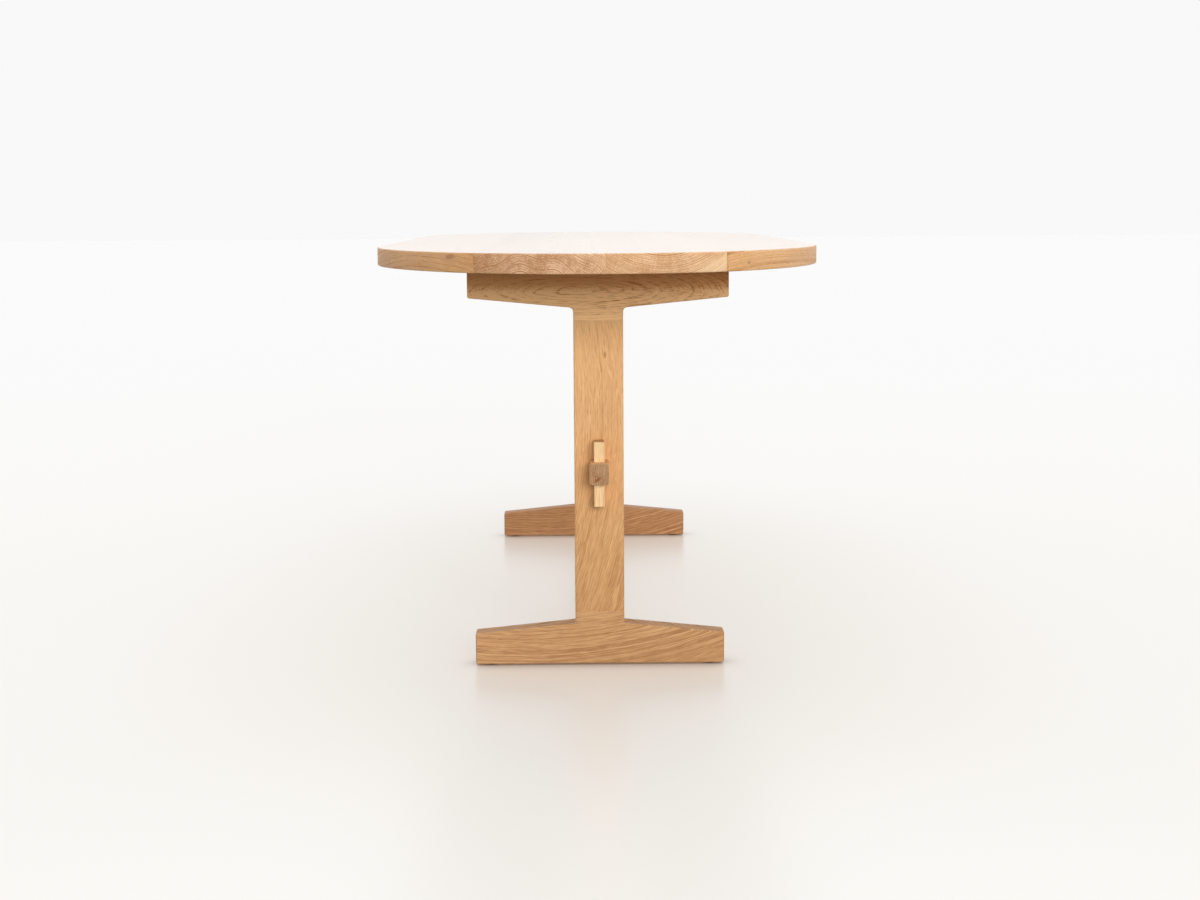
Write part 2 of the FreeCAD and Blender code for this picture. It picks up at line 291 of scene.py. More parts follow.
# %% Oak: how dark all of it makes a point, and what comes out
long_share, cloud_share, year_share = 0.32, 0.6, 0.12   # against the short streaks
smoothest, rougher_if_dark, rougher_end_on, streak_relief = 0.4, 0.22, 0.12, 0.35
ring_lines = minus(growth["Early Wood"], 0.3)
ring_lines = times(ring_lines, times(patchy, given["Ring Strength"]))
streaks = times(short_streaks, times_plus(end_on, -0.9, 1.8))
streaks = times_plus(long_streaks, long_share, streaks)
streaks = times_plus(clouds, cloud_share, streaks)
figure = times_plus(streaks, given["Streaks"], ring_lines)
figure = plus(figure, times(vessels, given["Pores"]))
darkness = times_plus(figure, bolder, given["Tone"])
darkness = times_plus(growth["Year"], year_share, darkness)
# a fade darkens the wood along one direction; on the heads, posts and feet, and in part on board 3, it is
# painted light and shade
darkness = plus(darkness, oak_vector("DOT_PRODUCT", given["Vector"], given["Fade"]))
pale_lines = times(growth["Late Line"], given["Pale Lines"])
darkness = minus(minus(darkness, pale_lines), flecks, clamp=True)
tinted = mix_colours(oak_group, darkness, given["Pale"], given["Dark"])
oiled = mix_colours(oak_group, end_on, tinted, given["End Grain"], "MULTIPLY")
roughness = times_plus(darkness, rougher_if_dark, smoothest)
roughness = times_plus(end_on, rougher_end_on, roughness)
height = times_plus(vessels, -1, times(short_streaks, streak_relief))
fill(oak_group, put, {"Color": oiled, "Roughness": roughness, "Height": height})
print("oak:", len(oak_group.nodes), "nodes")

# %% [markdown]
# ## Small knots and checks
# Even clear oak has a few pin knots, and a tenon's end dries out and opens a small check. Each is a
# dark lens in the wood, so one group makes a mask for a point inside an egg-shaped volume, and a
# piece uses it as often as it has knots. A large one makes a band of darker or paler wood, and the
# same mask paints a dark band of shadow under the top on each head and a highlight on one rim.

# %% The mask of a knot, or of a band of painted light or shade, as a node group
raggedness, solid_core = 0.9, 0.45         # the core is solid to this share of the knot's reach
knot_and_painted_band_mask, given, put = new_group(
    "knot", "ShaderNodeTree",
    [("Vector", VECTOR), ("Place", VECTOR), ("Turn", VECTOR), ("Reach", VECTOR, (0.01, 0.01, 0.01))],
    [("Mask", FLOAT)])
inside = add_node(knot_and_painted_band_mask, "ShaderNodeMapping",
                  {"Vector": given["Vector"], "Location": given["Place"], "Rotation": given["Turn"],
                   "Scale": given["Reach"]}, vector_type="TEXTURE").outputs["Vector"]
ragged = stretched_noise(knot_and_painted_band_mask, given["Vector"], (420, 420, 420), detail=1)
from_middle = vector_sum(knot_and_painted_band_mask, "LENGTH", inside)
from_middle = calculate(knot_and_painted_band_mask, "MULTIPLY_ADD", ragged, raggedness, from_middle)
mask = remap(knot_and_painted_band_mask, from_middle, solid_core, 1, to_low=1, to_high=0)
fill(knot_and_painted_band_mask, put, {"Mask": mask})
print("knot:", len(knot_and_painted_band_mask.nodes), "nodes")

# %% [markdown]
# ## One material for each piece of timber
# No two boards come from the same place in a tree. Each gets its own pith, bow and seed, and the
# Mapping node in TEXTURE mode lays the wood's own axes, with the pith as its first axis, into the
# board.

# %% Make a timber's material
ALONG, ACROSS, UPRIGHT = Euler((0, 0, 0)), Euler((0, 0, math.pi / 2)), Euler((0, -math.pi / 2, 0))


def leaning(lie, sideways=0, upwards=0):
    """The lie of the grain, turned a few degrees off its board."""
    lean = Euler((0, math.radians(-upwards), math.radians(sideways))).to_matrix()
    return (lie.to_matrix() @ lean).to_euler()


def new_material(name):
    """A material, its node tree and its Principled shader."""
    material = bpy.data.materials.new(name)
    material.use_nodes = True
    return material, material.node_tree, material.node_tree.nodes["Principled BSDF"]


def add_relief(tree, surface, height, strength, distance):
    """Fine relief from a height in the pattern."""
    relief = add_node(tree, "ShaderNodeBump",
                      {"Height": height, "Strength": strength, "Distance": distance})
    fill(tree, surface, {"Normal": relief.outputs["Normal"]})


def timber(name, pith, lie, knots_and_painted_bands=(), rubbed=False, **wood):
    """A material for one piece: where its pith runs, its marks, and the oak group's inputs.

    Each mark is a knot or a band of painted light or shade: (place, turn in degrees about X, reach,
    colour), and its colour's fourth number says how strong it is. A rubbed piece shines on top."""
    material, tree, surface = new_material(name)
    place = object_place(tree)
    laid = add_node(tree, "ShaderNodeMapping", {"Vector": place, "Location": pith, "Rotation": lie},
                    vector_type="TEXTURE").outputs["Vector"]
    grain = lie.to_matrix() @ Vector((1, 0, 0))
    oak = add_node(tree, "ShaderNodeGroup", {"Vector": laid, "Grain Direction": grain, **by_label(wood)},
                   node_tree=oak_group).outputs
    colour = oak["Color"]
    # the same mask lays on knots and bands of painted light and shade alike
    for mark_place, tilt, reach, mark_colour in knots_and_painted_bands:
        knot = add_node(tree, "ShaderNodeGroup",
                        {"Vector": place, "Place": mark_place, "Turn": (math.radians(tilt), 0, 0),
                         "Reach": reach}, node_tree=knot_and_painted_band_mask)
        strength = calculate(tree, "MULTIPLY", knot.outputs["Mask"], mark_colour[3])
        colour = mix_colours(tree, strength, colour, mark_colour)
    add_relief(tree, surface, oak["Height"], strength=0.35, distance=0.0003)
    fill(tree, surface, {"Base Color": colour, "Roughness": oak["Roughness"], "Specular IOR Level": 0.35})
    if rubbed:
        upwards = split(tree, add_node(tree, "ShaderNodeNewGeometry").outputs["Normal"])["Z"]
        fill(tree, surface, {"Coat Weight": remap(tree, upwards, 0.7, 0.95), "Coat Roughness": 0.09,
                             "Coat IOR": 1.7})
    return material


def dress(node_name, material):
    """Gives a piece of the construction its finish."""
    piece = nodes[node_name]
    piece.data.materials.clear()
    piece.data.materials.append(material)
    print(node_name, "is in", material.name)


# %% The boards of the top
outer_oak = dict(pale=(0.88, 0.515, 0.24, 1), dark=(0.5, 0.24, 0.085, 1), ring_width=0.0062, rays=0.04,
                 pores=0.16, pale_lines=0.1, streaks=0.62, end_strength=0.5, rubbed=True)
inner_oak = dict(end_grain=(0.88, 0.88, 0.96, 1), pores=0.36, end_strength=1.5, rubbed=True)
knot_brown, knot_edge = (0.38, 0.18, 0.07, 0.75), (0.58, 0.31, 0.13, 0.6)
# the second colour is a pale patch painted on board 3's rim where it turns towards the lamp: a painted
# highlight
ray_brown, painted_rim_highlight = (0.5, 0.26, 0.12, 0.6), (0.95, 0.7, 0.44, 0.45)
board_oak = [
    timber("oak top board 1", (0, -0.3, 0.45), leaning(ALONG, 0.4, 1.1), seed=3.1,
           knots_and_painted_bands=[((0.937, -0.234, 0.74), 10, (0.04, 0.03, 0.013), knot_edge),
                  ((0.937, -0.2388, 0.743), 10, (0.02, 0.012, 0.005), knot_brown)],
           waviness=0.009, ring_strength=0.45, tone=0.5, **outer_oak),
    timber("oak top board 2", (0, -0.11, 0.61), leaning(ALONG, -0.2, 0.1), seed=7.7,
           waviness=0.007, ripple_height=0.004, ripple_place=-0.016, ring_width=0.0028, ring_strength=0.5,
           tone=0.62, streaks=0.7, fade=(0, -2.4, 0), pale=(0.89, 0.58, 0.33, 1),
           dark=(0.46, 0.215, 0.08, 1), **inner_oak),
    # board 3 grows paler towards +Y, partly its own tone and partly painted light on the side that faces
    # the lamp
    timber("oak top board 3", (0, 0.095, 0.873), leaning(ALONG, 0.3, -0.1), seed=12.9,
           knots_and_painted_bands=[((1, 0.182, 0.726), 24, (0.3, 0.048, 0.015), painted_rim_highlight),
                  ((1, 0.064, 0.735), 4, (0.2, 0.001, 0.016), ray_brown),
                  ((1, 0.107, 0.738), -6, (0.2, 0.0009, 0.014), ray_brown)],
           waviness=0.006, ring_width=0.0029, ring_strength=0.56, tone=0.4, streaks=0.6,
           fade=(0, -1, 0), pale=(0.9, 0.58, 0.31, 1), dark=(0.5, 0.24, 0.085, 1), **inner_oak),
    timber("oak top board 4", (0, 0.3, 0.4), leaning(ALONG, -0.3, -1.2), seed=18.3,
           knots_and_painted_bands=[((0.937, 0.2387, 0.7306), 30, (0.02, 0.004, 0.0025), knot_brown)],
           waviness=0.009, ring_strength=0.4, tone=0.35, **outer_oak)]
print("materials for", len(board_oak), "boards")

# %% The trestles and the stretcher
frame_colours = dict(pale=(0.86, 0.51, 0.235, 1), dark=(0.45, 0.205, 0.078, 1))
# the feet's higher tone is partly their own darker wood and partly painted shade near the floor
foot_colours = {"right": dict(pale=(0.81, 0.49, 0.24, 1), dark=(0.42, 0.2, 0.082, 1), tone=0.78),
                "left": dict(pale=(0.78, 0.42, 0.195, 1), dark=(0.4, 0.17, 0.066, 1), tone=0.715)}
# a painted shadow: the table top's shadow on each head, laid on as a dark band of wood colour
painted_top_shadow = (0.51, 0.19, 0.033, 0.6)      # a darker band along the upper edge of each head
trestle_face = 0.655                       # how far out the trestles' outer faces stand
for side, sign in sides.items():
    seed = 30 - 10 * sign
    face = sign * trestle_face
    # its pale is lighter than the posts' to make up for light the top holds back, and its dark deeper to
    # carry that painted shadow
    # the upward part of the head's fade darkens it towards the table top: painted shadow
    dress(f"{side}_head", timber(
        f"oak {side} head", (face - sign * 0.04, -0.042, 0.6755), ACROSS, seed=seed + 1,
        knots_and_painted_bands=[((face, 0, 0.699), 0, (1, 1.5, 0.03), painted_top_shadow)],
        bow=(0, -sign * 0.35, 0.06), waviness=0.008, ring_width=0.0019, ring_strength=0.52,
        tone=0.03, streaks=1.15, pores=0.5, pale_lines=0.6, fade=(0.8, 0, 5),
        pale=(0.97, 0.61, 0.3, 1), dark=(0.4, 0.142, 0.036, 1)))
    # the post's fade darkens it towards the floor: painted shade
    dress(f"{side}_post", timber(
        f"oak {side} post", (face - sign * 0.035, -0.15, 0.47), UPRIGHT, seed=seed + 2,
        knots_and_painted_bands=[((face, 0.0116, 0.5608), 0, (0.01, 0.003, 0.007), knot_brown)],
        bow=(0, 0.5, 0), waviness=0.006, ring_strength=0.22, tone=0.23, streaks=0.55,
        pores=0.65, pale_lines=0.35, fade=(-1.05, 0, 0), **frame_colours))
    # the foot's fade makes it paler towards its top and darker towards the floor: painted light and shade
    dress(f"{side}_foot", timber(
        f"oak {side} foot", (face - sign * 0.045, 0, -0.03), leaning(ACROSS, 0, 7),
        seed=seed + 3, bow=(0, 0, -0.5), waviness=0.005, ring_width=0.0045,
        ring_strength=0.32, streaks=0.62, pale_lines=0.8, fade=(0, 0, -2.2),
        **foot_colours[side]))
drying_check = ((0.705, -0.0033, 0.3456), 38, (0.004, 0.0085, 0.0034), (0.28, 0.09, 0.03, 1))
dress("stretcher", timber(
    "oak stretcher", (0, 0.11, 0.355), ALONG, seed=61, knots_and_painted_bands=[drying_check], waviness=0.01,
    ring_width=0.003, ring_strength=0.45, streaks=0.75, pores=0.3, end_strength=2.4,
    end_grain=(0.6, 0.61, 0.7, 1), **frame_colours))

# %% The wedges
wedge_wood = dict(pale=(0.97, 0.7, 0.39, 1), dark=(0.74, 0.46, 0.22, 1), ring_width=0.0016,
                  waviness=0.003, tone=0.25, ring_strength=0.45, streaks=1.1, rays=0.1,
                  end_grain=(0.62, 0.52, 0.42, 1))
for side, seed in (("right", 71), ("left", 83)):
    dress(f"{side}_wedge",
          timber(f"pale wedge wood {side}", (0.5, 0.08, 0.35), UPRIGHT, seed=seed, **wedge_wood))

# %% [markdown]
# ## Metal and felt
# The bolts are zinc-plated, the inserts turned brass, the glides pressed felt. Worked metal is never
# one flat grey: it has fine turning marks and a faint mottle where fingers and oil have been. One
# group gives both metals those marks, and felt gets its own short crossing fibres.

# %% Worked metal as a node group
metal_group, given, put = new_group(
    "worked metal", "ShaderNodeTree",
    [("Vector", VECTOR), ("Bright", COLOR, (0.62, 0.63, 0.64, 1)),
     ("Dull", COLOR, (0.42, 0.42, 0.42, 1)), ("Smoothest", FLOAT, 0.22), ("Roughest", FLOAT, 0.42)],
    [("Color", COLOR), ("Roughness", FLOAT), ("Height", FLOAT)])
marks = stretched_noise(metal_group, given["Vector"], (300, 300, 3200))
mottle = stretched_noise(metal_group, given["Vector"], (160, 160, 160))
wear = calculate(metal_group, "ADD", calculate(metal_group, "MULTIPLY_ADD", mottle, 1.6, 0.4),
                 calculate(metal_group, "MULTIPLY", marks, 0.5), clamp=True)
fill(metal_group, put, {
    "Color": mix_colours(metal_group, wear, given["Bright"], given["Dull"]),
    "Roughness": remap(metal_group, wear, 0, 1, given["Smoothest"], given["Roughest"], "LINEAR"),
    "Height": marks})


def metal(name, **finish):
    """A metal, from its name and the worked metal group's inputs."""
    material, tree, surface = new_material(name)
    worked = add_node(tree, "ShaderNodeGroup", {"Vector": object_place(tree), **by_label(finish)},
                      node_tree=metal_group).outputs
    add_relief(tree, surface, worked["Height"], strength=0.2, distance=0.00005)
    fill(tree, surface, {"Base Color": worked["Color"], "Roughness": worked["Roughness"], "Metallic": 1})
    return material


steel = metal("zinc plated steel")
brass = metal("turned brass", bright=(0.8, 0.58, 0.26, 1), dull=(0.5, 0.34, 0.13, 1))
print("worked metal:", len(metal_group.nodes), "nodes")

# %% Pressed felt
felt, tree, surface = new_material("dark felt")
felt_noise = partial(stretched_noise, tree, object_place(tree), detail=3, roughness=0.7)
fibres = felt_noise(per_metre=(900, 2600, 900))
crossing_fibres = felt_noise(per_metre=(2600, 900, 1400))
fuzz = calculate(tree, "ADD", fibres, crossing_fibres)
fuzz = calculate(tree, "MULTIPLY_ADD", fuzz, 1.1, 0.45, clamp=True)
deep_felt, raised_felt = (0.016, 0.012, 0.009, 1), (0.06, 0.047, 0.036, 1)
add_relief(tree, surface, fuzz, strength=0.6, distance=0.0004)
fill(tree, surface, {"Base Color": mix_colours(tree, fuzz, deep_felt, raised_felt),
                     "Roughness": 0.95, "Sheen Weight": 0.3})
print("felt:", len(tree.nodes), "nodes")

# %% [markdown]
# ## Running a geometry tree
# Geometry Nodes work as a modifier, whose inputs are set by each socket's identifier. The export
# wants plain meshes, so this helper runs a tree once, keeps the evaluated result as the piece's own
# mesh, and takes the modifier off again.

# %% Run a geometry tree once and keep its mesh
def run_tree(tree, name, **values):
    """A mesh object called name, made by the tree with its inputs set by their labels."""
    piece = bpy.data.objects.new(name, bpy.data.meshes.new(name))
    bpy.context.scene.collection.objects.link(piece)
    modifier = piece.modifiers.new(tree.name, "NODES")
    modifier.node_group = tree
    wanted = by_label(values)
    for socket in tree.interface.items_tree:
        if socket.in_out == "INPUT" and socket.name in wanted:
            modifier[socket.identifier] = wanted.pop(socket.name)
    if wanted:
        raise ValueError(f"{tree.name} has no inputs named {sorted(wanted)}")
    graph = bpy.context.evaluated_depsgraph_get()
    mesh = bpy.data.meshes.new_from_object(piece.evaluated_get(graph), depsgraph=graph)
    piece.modifiers.remove(modifier)
    piece.data = mesh
    print(name, len(mesh.vertices), "points,", len(mesh.polygons), "faces")
    return piece


def stands_for(piece, node_name, body):
    """The piece takes a node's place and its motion."""
    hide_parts(node_name)
    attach(piece, body)


# %% [markdown]
# ## The table top, from the rule of its outline
# The outline is made of arcs that run into each other without a corner: a shallow one off each long
# side and a tighter one round each tip. On such an outline, every point is known from the direction
# it faces: it lies one radius out from its arc's centre. The tree starts from a plain cylinder's
# side and two caps, asks each point which way it faces, and moves it to its place on the outline.
# Because easing an edge only shortens the radius, the same rule rounds the upper and lower rims.
# The alternative, bevelling a drawn outline, would give uneven facets where the arcs meet.
# The boards are then sawn from the whole top, so that their ends carry on one from another.

# %% The table top's tree: its inputs
top_tree, given, put = new_group(
    "table top board", "GeometryNodeTree",
    [("Length", FLOAT, 2.1), ("Width", FLOAT, 0.8), ("Thickness", FLOAT, 0.032),
     ("Rounded End Length", FLOAT, 0.57), ("Tip Radius", FLOAT, 0.31), ("Underside", FLOAT, 0.718),
     ("Upper Edge Radius", FLOAT, 0.0025), ("Lower Edge Radius", FLOAT, 0.002),
     ("Saw From", FLOAT, -0.5), ("Saw To", FLOAT, 0.5), ("Hole Spacing Along", FLOAT, 1.27),
     ("Hole Spacing Across", FLOAT, 0.34), ("Hole Diameter", FLOAT, 0.0121),
     ("Hole Depth", FLOAT, 0.02), ("Material", MATERIAL)],
    [("Mesh", GEOMETRY)])
top_node, sum_up = partial(add_node, top_tree), partial(calculate, top_tree)
plus, minus, times, over, times_plus = arithmetic(top_tree)
lower_edge, upper_edge = given["Lower Edge Radius"], given["Upper Edge Radius"]
print("table top board:", len(given) - 1, "inputs")

# %% A ring of points for each level of the rim, and the way each point faces
rim_points, lower_steps, upper_steps = 320, 3, 5
levels = lower_steps + 1 + upper_steps
blank = top_node("GeometryNodeMeshCylinder",
                 {"Vertices": rim_points, "Side Segments": levels, "Radius": 1, "Depth": 1},
                 fill_type="NGON").outputs["Mesh"]
start = split(top_tree, top_node("GeometryNodeInputPosition").outputs[0])
faced = plus(sum_up("ARCTAN2", start["Y"], start["X"]), math.pi / rim_points)
cosine, sine = sum_up("COSINE", faced), sum_up("SINE", faced)
along, aside = sum_up("ABSOLUTE", cosine), sum_up("ABSOLUTE", sine)
print("a rim of", rim_points, "points on", levels + 1, "levels")


# %% How far each level steps in and how high it lies
def one_less(edge_radius, turned):
    """An edge's radius times one less a cosine or a sine."""
    return times(edge_radius, minus(1, turned))


level = times(plus(start["Z"], 0.5), levels)
lower_turn = times(minus(1, over(level, lower_steps), clamp=True), math.pi / 2)
upper_turn = over(minus(level, lower_steps + 1), upper_steps, clamp=True)
upper_turn = times(upper_turn, math.pi / 2)
above_middle = sum_up("GREATER_THAN", level, lower_steps + 0.5)
step_in = plus(one_less(lower_edge, sum_up("COSINE", lower_turn)),
               one_less(upper_edge, sum_up("COSINE", upper_turn)))
rise_low = one_less(lower_edge, sum_up("SINE", lower_turn))
straight_rise = minus(given["Thickness"], plus(lower_edge, upper_edge))
rise_high = plus(times(above_middle, straight_rise), times(upper_edge, sum_up("SINE", upper_turn)))
point_height = plus(given["Underside"], plus(rise_low, rise_high))
print("levels:", lower_steps, "round the lower edge,", upper_steps, "round the upper")

# %% The arc that each direction belongs to
half_length, half_width = times(given["Length"], 0.5), times(given["Width"], 0.5)
reach, tip = given["Rounded End Length"], given["Tip Radius"]
squares = plus(times(reach, reach), times(half_width, half_width))
twice_both = times(times(reach, tip), 2)
side_radius = over(minus(squares, twice_both), times(minus(half_width, tip), 2))
on_tip = sum_up("LESS_THAN", times(aside, minus(reach, tip)), times(along, minus(side_radius, half_width)))


def either(on_side, on_the_tip):
    """One number on the side arcs and another on the tip arcs."""
    return remap(top_tree, on_tip, 0, 1, on_side, on_the_tip, "LINEAR")


radius = minus(either(side_radius, tip), step_in)
centre_x = either(minus(half_length, reach), minus(half_length, tip))
centre_y = either(minus(half_width, side_radius), 0)
point_x = times(sum_up("SIGN", cosine), times_plus(radius, along, centre_x))
point_y = times(sum_up("SIGN", sine), times_plus(radius, aside, centre_y))
point = join(top_tree, X=point_x, Y=point_y, Z=point_height)
whole = top_node("GeometryNodeSetPosition", {"Geometry": blank, "Position": point}).outputs[0]
print("outline:", len(top_tree.nodes), "nodes so far")

# %% The saw: the part of the top between two glue lines
saw_width = minus(given["Saw To"], given["Saw From"])
saw_middle = times(plus(given["Saw To"], given["Saw From"]), 0.5)
saw_length = times(given["Length"], 1.5)           # well past both ends
saw_size = join(top_tree, X=saw_length, Y=saw_width, Z=given["Width"])
saw_place = join(top_tree, Y=saw_middle, Z=given["Underside"])
saw_box = top_node("GeometryNodeMeshCube", {"Size": saw_size}).outputs["Mesh"]
saw_box = top_node("GeometryNodeTransform", {"Geometry": saw_box, "Translation": saw_place}).outputs[0]
sawn = top_node("GeometryNodeMeshBoolean", operation="INTERSECT")
for solid in (whole, saw_box):
    top_tree.links.new(solid, sawn.inputs["Mesh 2"])
print("saw:", len(top_tree.nodes), "nodes so far")

# %% The drill: blind holes for the threaded inserts, on a grid of four points
drill_start, drill_points = 0.001, 32      # it starts a little below the underside, for a clean cut
drill = top_node("GeometryNodeMeshCylinder",
                 {"Vertices": drill_points, "Radius": times(given["Hole Diameter"], 0.5),
                  "Depth": plus(given["Hole Depth"], drill_start)}, fill_type="NGON").outputs["Mesh"]
holes = top_node("GeometryNodeMeshGrid",
                 {"Size X": given["Hole Spacing Along"], "Size Y": given["Hole Spacing Across"],
                  "Vertices X": 2, "Vertices Y": 2}).outputs["Mesh"]
drills = top_node("GeometryNodeInstanceOnPoints", {"Points": holes, "Instance": drill}).outputs[0]
half_drill = times(minus(given["Hole Depth"], drill_start), 0.5)
drill_place = join(top_tree, Z=plus(given["Underside"], half_drill))
drills = top_node("GeometryNodeTransform", {"Geometry": drills, "Translation": drill_place}).outputs[0]
drills = top_node("GeometryNodeRealizeInstances", {"Geometry": drills}).outputs[0]
drilled = top_node("GeometryNodeMeshBoolean", {"Mesh 1": sawn.outputs["Mesh"], "Mesh 2": drills},
                   operation="DIFFERENCE").outputs["Mesh"]
print("drill:", len(top_tree.nodes), "nodes so far")

# %% Smooth round the rim, flat on the faces that are planed and sawn
level_from, square_from = 0.999, 0.9999    # how far the normal's Z or Y reaches on such a face
normal = split(top_tree, top_node("GeometryNodeInputNormal").outputs[0])
planed = sum_up("GREATER_THAN", sum_up("ABSOLUTE", normal["Z"]), level_from)
sawn_face = sum_up("GREATER_THAN", sum_up("ABSOLUTE", normal["Y"]), square_from)
rounded = sum_up("LESS_THAN", plus(planed, sawn_face), 0.5)
shaded = top_node("GeometryNodeSetShadeSmooth", {"Geometry": drilled, "Shade Smooth": rounded}).outputs[0]
whole_board = top_node("GeometryNodeRealizeInstances", {"Geometry": shaded}).outputs[0]
oiled_board = top_node("GeometryNodeSetMaterial", {"Geometry": whole_board, "Material": given["Material"]})
fill(top_tree, put, {"Mesh": oiled_board.outputs[0]})
print("table top board:", len(top_tree.nodes), "nodes")

# %% Saw the four boards
lowest, highest = cad_box
glue_lines = [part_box(f"top_board_{number}")[1].y for number in (1, 2, 3)]
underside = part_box("top_board_2")[0].z
limits = [2 * lowest.y, *glue_lines, 2 * highest.y]
for number, (saw_from, saw_to) in enumerate(zip(limits, limits[1:]), start=1):
    board = run_tree(top_tree, f"sawn_board_{number}", length=highest.x - lowest.x,
                     width=highest.y - lowest.y, thickness=highest.z - underside, underside=underside,
                     saw_from=saw_from, saw_to=saw_to, material=board_oak[number - 1])
    stands_for(board, f"top_board_{number}", "table")

# %% [markdown]
# ## Turned pieces
# Bolts, washers, inserts and glides are all turned: a section spun round an axis. They could be
# made with the Spin operator, but then the knurl, the hexagon of the key and the screw thread would
# need their own tools. Here the lathe works out the radius of every point by a rule, so one loop
# makes all of them: round, six-sided, ridged, or following a thread.

# %% The lathe, whose sections are in millimetres
mm, knurl_depth = 0.001, 0.25


def turned_radius(kind, size, height, angle, step):
    """How far out a point lies. A hexagon's size is half the distance across its flats."""
    if kind == "hexagon":
        return size / math.cos((angle + math.pi / 6) % (math.pi / 3) - math.pi / 6)
    if kind == "knurl":
        return size - knurl_depth * (step % 2)
    if isinstance(kind, tuple):                       # a thread: (pitch, depth)
        pitch, depth = kind
        part_of_turn = (height / pitch - angle / math.tau) % 1
        return size - depth * (1 - abs(2 * part_of_turn - 1))
    return size


def thread(top, bottom, size, pitch, depth, rings_per_turn=4):
    """The rows of a screw thread between two heights."""
    count = round(abs(top - bottom) / pitch * rings_per_turn)
    return [(size, bottom + (top - bottom) * ring / count, (pitch, depth)) for ring in range(count + 1)]


def turn(name, section, around, closed=False):
    """Spins rows of a radius, a height and perhaps a rule into a closed shell.

    A closed section has a hole down its middle."""
    shell = bmesh.new()
    loops = []
    for size, height, *rule in section:
        if size == 0:
            loops.append([shell.verts.new((0, 0, height * mm))] * around)
            continue
        kind = rule[0] if rule else "round"
        loop = []
        for step in range(around):
            angle = math.tau * step / around
            out = turned_radius(kind, size, height, angle, step) * mm
            loop.append(shell.verts.new((out * math.cos(angle), out * math.sin(angle), height * mm)))
        loops.append(loop)
    for below, above in zip(loops, loops[1:] + (loops[:1] if closed else [])):
        for step in range(around):
            following = (step + 1) % around
            corners = [below[step], below[following], above[following], above[step]]
            shell.faces.new(list(dict.fromkeys(corners)))
    bmesh.ops.recalc_face_normals(shell, faces=shell.faces)
    mesh = bpy.data.meshes.new(name)
    shell.to_mesh(mesh)
    shell.free()
    mesh.shade_smooth()
    mesh.set_sharp_from_angle(angle=math.radians(30))
    master = bpy.data.objects.new(name, mesh)
    bpy.context.scene.collection.objects.link(master)
    print(name, len(mesh.vertices), "points")
    return master


# %% A socket-head bolt, standing on its own head, with the seat at height 0
bolt_head = 8
bolt = turn("bolt_master", [
    (0, -3.7), (3, -4, "hexagon"), (3, -7.7, "hexagon"), (3.4, -bolt_head, "hexagon"),
    (5.6, -bolt_head), (6.2, -7.7), (6.5, -7), (6.5, -6.8, "knurl"), (6.5, -0.7, "knurl"),
    (6.5, -0.5), (6.4, 0), (4, 0), (4, 22),
    *thread(44, 22.5, 4, pitch=1.25, depth=0.65), (3.2, 45), (0, 45)], around=72)

# %% Washer, threaded insert and felt glide
washer = turn("washer_master", [(4.7, 0), (4.5, 0.2), (4.5, 1.4), (4.7, 1.6), (8.7, 1.6), (9, 1.3),
                                (9, 0.3), (8.7, 0)], around=72, closed=True)
insert = turn("insert_master", [(4.3, 0), (4.05, 0.3), (4.05, 17.7), (4.3, 18), (5.2, 18),
                                *thread(1.2, 17.2, 6, pitch=2.5, depth=0.7), (5.8, 0)],
              around=48, closed=True)
glide = turn("glide_master", [(0, 0), (10.6, 0), (11.4, 0.2), (11.9, 0.8), (12, 1.5),
                              (11.8, 2.5), (11.6, 3), (0, 3)], around=64)

# %% [markdown]
# ## Setting out the fasteners
# Each trestle holds two of every fastener, one near each end. A short geometry tree repeats the
# turned piece along a line of points, which is how any row of screws or feet is best made: change
# the count or the step and the row follows.

# %% A row of equal pieces as a tree
row_tree, given, put = new_group(
    "row of pieces", "GeometryNodeTree",
    [("Piece", OBJECT), ("Count", WHOLE, 2), ("First Place", VECTOR), ("Step", VECTOR, (0, 0.1, 0)),
     ("Material", MATERIAL)],
    [("Mesh", GEOMETRY)])
row_node = partial(add_node, row_tree)
places = row_node("GeometryNodeMeshLine",
                  {"Count": given["Count"], "Start Location": given["First Place"],
                   "Offset": given["Step"]}, mode="OFFSET").outputs["Mesh"]
model = row_node("GeometryNodeObjectInfo", {"Object": given["Piece"]}).outputs["Geometry"]
repeated = row_node("GeometryNodeInstanceOnPoints", {"Points": places, "Instance": model}).outputs[0]
real = row_node("GeometryNodeRealizeInstances", {"Geometry": repeated}).outputs[0]
finished = row_node("GeometryNodeSetMaterial", {"Geometry": real, "Material": given["Material"]})
fill(row_tree, put, {"Mesh": finished.outputs[0]})
print("row of pieces:", len(row_tree.nodes), "nodes")

# %% Bolts, washers, inserts and glides where the construction has them
fittings = [("head_bolts", bolt, steel, "bolt_steel", bolt_head * mm),     # its height 0 is its seat
            ("head_washers", washer, steel, "bolt_steel", 0),
            ("top_inserts", insert, brass, "insert_brass", 0),
            ("foot_glides", glide, felt, "glide_felt", 0)]
for side in sides:
    for kind, master, material, slot, lift in fittings:
        low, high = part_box(f"{side}_{kind}")
        half_size = (high.x - low.x) / 2
        first_place = (low.x + half_size, low.y + half_size, low.z + lift)
        step = (0.0, high.y - low.y - 2 * half_size, 0.0)
        row = run_tree(row_tree, f"{side}_{kind}_turned", piece=master, first_place=first_place,
                       step=step, material=material)
        stands_for(row, f"{side}_{kind}", "table")
for master in (bolt, washer, insert, glide):
    bpy.data.objects.remove(master)

